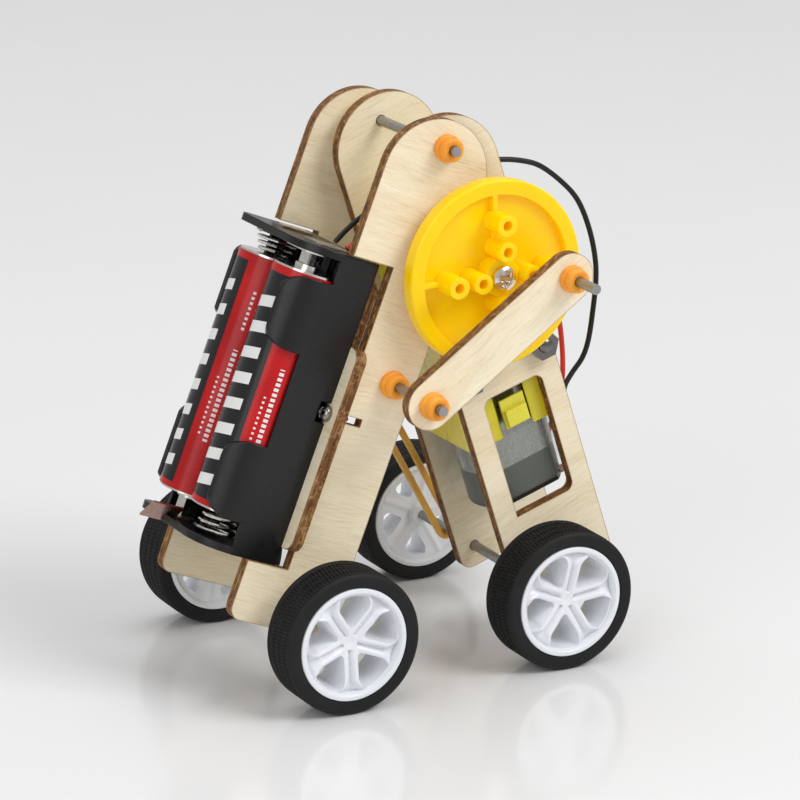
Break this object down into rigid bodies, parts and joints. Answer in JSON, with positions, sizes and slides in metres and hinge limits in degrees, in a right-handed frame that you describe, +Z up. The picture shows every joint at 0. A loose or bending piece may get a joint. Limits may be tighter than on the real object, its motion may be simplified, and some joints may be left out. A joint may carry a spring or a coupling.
{
  "type": "four wheel robot chassis",
  "caption": "Walking crank chassis: plywood leg pairs hinged at the top, a geared motor with crank wheel and link opens and closes them on rolling wheels",
  "frame": {"origin": "on the floor under the middle of the part's box", "axes": "X from the battery legs to the motor legs, Y along the axles away from the crank wheel, Z up"},
  "size_m": [0.098, 0.0834, 0.1125],
  "materials": {
    "plywood": "sanded basswood plywood, laser-cut brown edges",
    "black_plastic": "satin moulded ABS",
    "plated_steel": "zinc plated",
    "nickel": "nickel plated",
    "tin_tab": "tinned bronze",
    "cell_sleeve": "glossy printed shrink sleeve",
    "steel_rod": "drawn dull steel",
    "orange_rubber": "translucent silicone",
    "yellow_plastic": "translucent moulded yellow",
    "latch_yellow": "lighter moulded yellow",
    "motor_steel": "zinc plated can",
    "clear_plastic": "clear grey moulded cover",
    "disc_yellow": "glossy moulded yellow",
    "white_plastic": "moulded acetal",
    "white_rim": "moulded white, slight sheen",
    "tyre": "fine-treaded soft rubber",
    "black_wire": "PVC insulation",
    "red_wire": "PVC insulation",
    "rubber_band": "natural latex"
  },
  "bodies": {
    "rear_frame": {"rear_leg_near": "plywood", "rear_leg_far": "plywood", "gearbox_near": "yellow_plastic", "gearbox_far": "yellow_plastic", "gearbox_latch": "latch_yellow", "gearbox_screws": "plated_steel", "motor_can": "motor_steel", "motor_end_cap": "black_plastic", "motor_cover": "clear_plastic", "motor_terminals": "tin_tab", "motor_bolts": "plated_steel", "motor_nuts": "plated_steel"},
    "front_frame": {"front_leg_near": "plywood", "front_leg_far": "plywood", "battery_board": "plywood", "battery_box": "black_plastic", "board_screws": "plated_steel", "cell_springs": "nickel", "cell_contacts": "nickel", "contact_tab": "tin_tab", "near_cell_can": "nickel", "near_cell_sleeve": "cell_sleeve", "far_cell_can": "nickel", "far_cell_sleeve": "cell_sleeve", "pivot_rod": "steel_rod", "pivot_collars": "orange_rubber", "link_rod": "steel_rod", "link_rod_collars": "orange_rubber", "black_wire": "black_wire", "red_wire": "red_wire", "rubber_band": "rubber_band"},
    "crank": {"crank_disc": "disc_yellow", "disc_screw": "plated_steel", "output_shaft": "white_plastic", "output_gear": "white_plastic"},
    "link": {"link_bar": "plywood", "crank_pin": "steel_rod", "crank_pin_collars": "orange_rubber"},
    "front_wheels": {"front_axle": "steel_rod", "front_rim_near": "white_rim", "front_rim_far": "white_rim", "front_tyre_near": "tyre", "front_tyre_far": "tyre"},
    "rear_wheels": {"rear_axle": "steel_rod", "rear_rim_near": "white_rim", "rear_rim_far": "white_rim", "rear_tyre_near": "tyre", "rear_tyre_far": "tyre"}
  },
  "joints": [
    {"name": "leg_pivot", "type": "hinge", "parent": "rear_frame", "child": "front_frame", "pos_m": [0.0064, 0.0006, 0.1067], "axis": [0, 1, 0], "range_deg": [-6, 43], "deforming": ["black_wire", "red_wire", "rubber_band"]},
    {"name": "crank_spin", "type": "hinge", "parent": "rear_frame", "child": "crank", "pos_m": [0.01484, 0.0006, 0.0819], "axis": [0, 1, 0], "continuous": true},
    {"name": "link_swing", "type": "hinge", "parent": "front_frame", "child": "link", "pos_m": [-0.00471, 0.0006, 0.06073], "axis": [0, 1, 0], "range_deg": [-9.5, 1.5]},
    {"name": "front_wheels_spin", "type": "hinge", "parent": "front_frame", "child": "front_wheels", "pos_m": [-0.0204, 0.0006, 0.0144], "axis": [0, 1, 0], "continuous": true},
    {"name": "rear_wheels_spin", "type": "hinge", "parent": "rear_frame", "child": "rear_wheels", "pos_m": [0.0299, 0.0006, 0.0144], "axis": [0, 1, 0], "continuous": true}
  ],
  "couplings": [
    {"joint": "link_swing", "follows": "leg_pivot", "ratio": -0.217}
  ]
}
